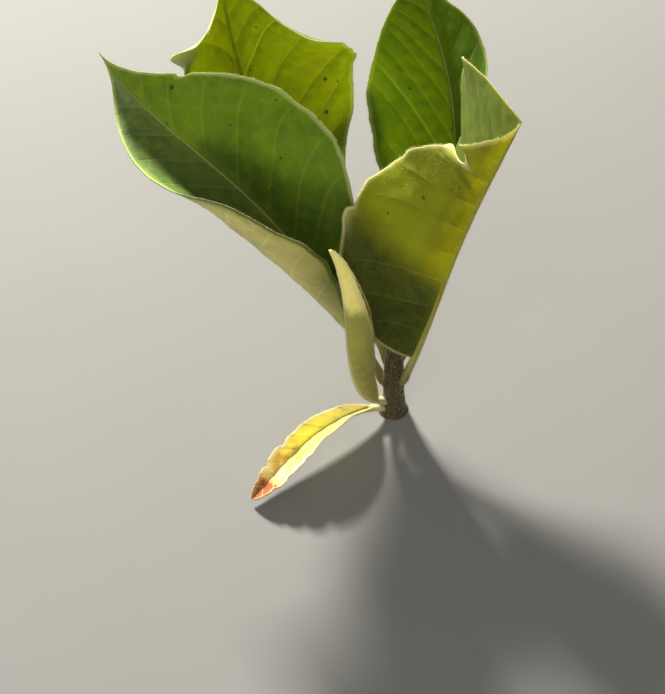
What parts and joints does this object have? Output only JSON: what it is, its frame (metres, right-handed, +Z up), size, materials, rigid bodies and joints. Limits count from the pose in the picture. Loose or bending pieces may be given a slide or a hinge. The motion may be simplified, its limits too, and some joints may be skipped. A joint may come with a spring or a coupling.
{
  "type": "young tobacco plant",
  "caption": "Young rooted tobacco plant: a short leaning stem, broad folded green leaves, a rolled leaf, a withered leaf on the ground and shut young leaves in the heart.",
  "frame": {"origin": "middle of the flat cut under the stem, at ground level", "axes": "+Z up along the stem, +X to the right and +Y away from the viewer as the plant is seen in the picture"},
  "size_m": [0.1525, 0.1583, 0.1806],
  "materials": {
    "stem": "matte, finely hairy green stem",
    "petiole": "pale green, downy petiole and midrib",
    "leaf_green": "soft satin leaf with pale veins",
    "leaf_bright": "soft satin leaf, yellow-green where the light comes through",
    "leaf_rolled": "pale downy underside of a rolled leaf",
    "leaf_withered": "yellow, drying leaf with a brown tip",
    "leaf_young": "fresh downy young leaf"
  },
  "bodies": {
    "root": {"stem": "stem", "left_leaf_midrib": "petiole", "left_leaf_left_blade": "leaf_green", "left_leaf_right_blade": "leaf_green", "back_left_leaf_midrib": "petiole", "back_left_leaf_left_blade": "leaf_bright", "back_left_leaf_right_blade": "leaf_bright", "back_leaf_midrib": "petiole", "back_leaf_left_blade": "leaf_green", "back_leaf_right_blade": "leaf_green", "right_leaf_midrib": "petiole", "right_leaf_left_blade": "leaf_bright", "right_leaf_right_blade": "leaf_bright", "rolled_leaf_midrib": "petiole", "rolled_leaf_left_blade": "leaf_rolled", "rolled_leaf_right_blade": "leaf_rolled", "withered_leaf_midrib": "petiole", "withered_leaf_left_blade": "leaf_withered", "withered_leaf_right_blade": "leaf_withered", "young_leaf_tall": "leaf_young", "young_leaf_short": "leaf_young"}
  },
  "joints": []
}
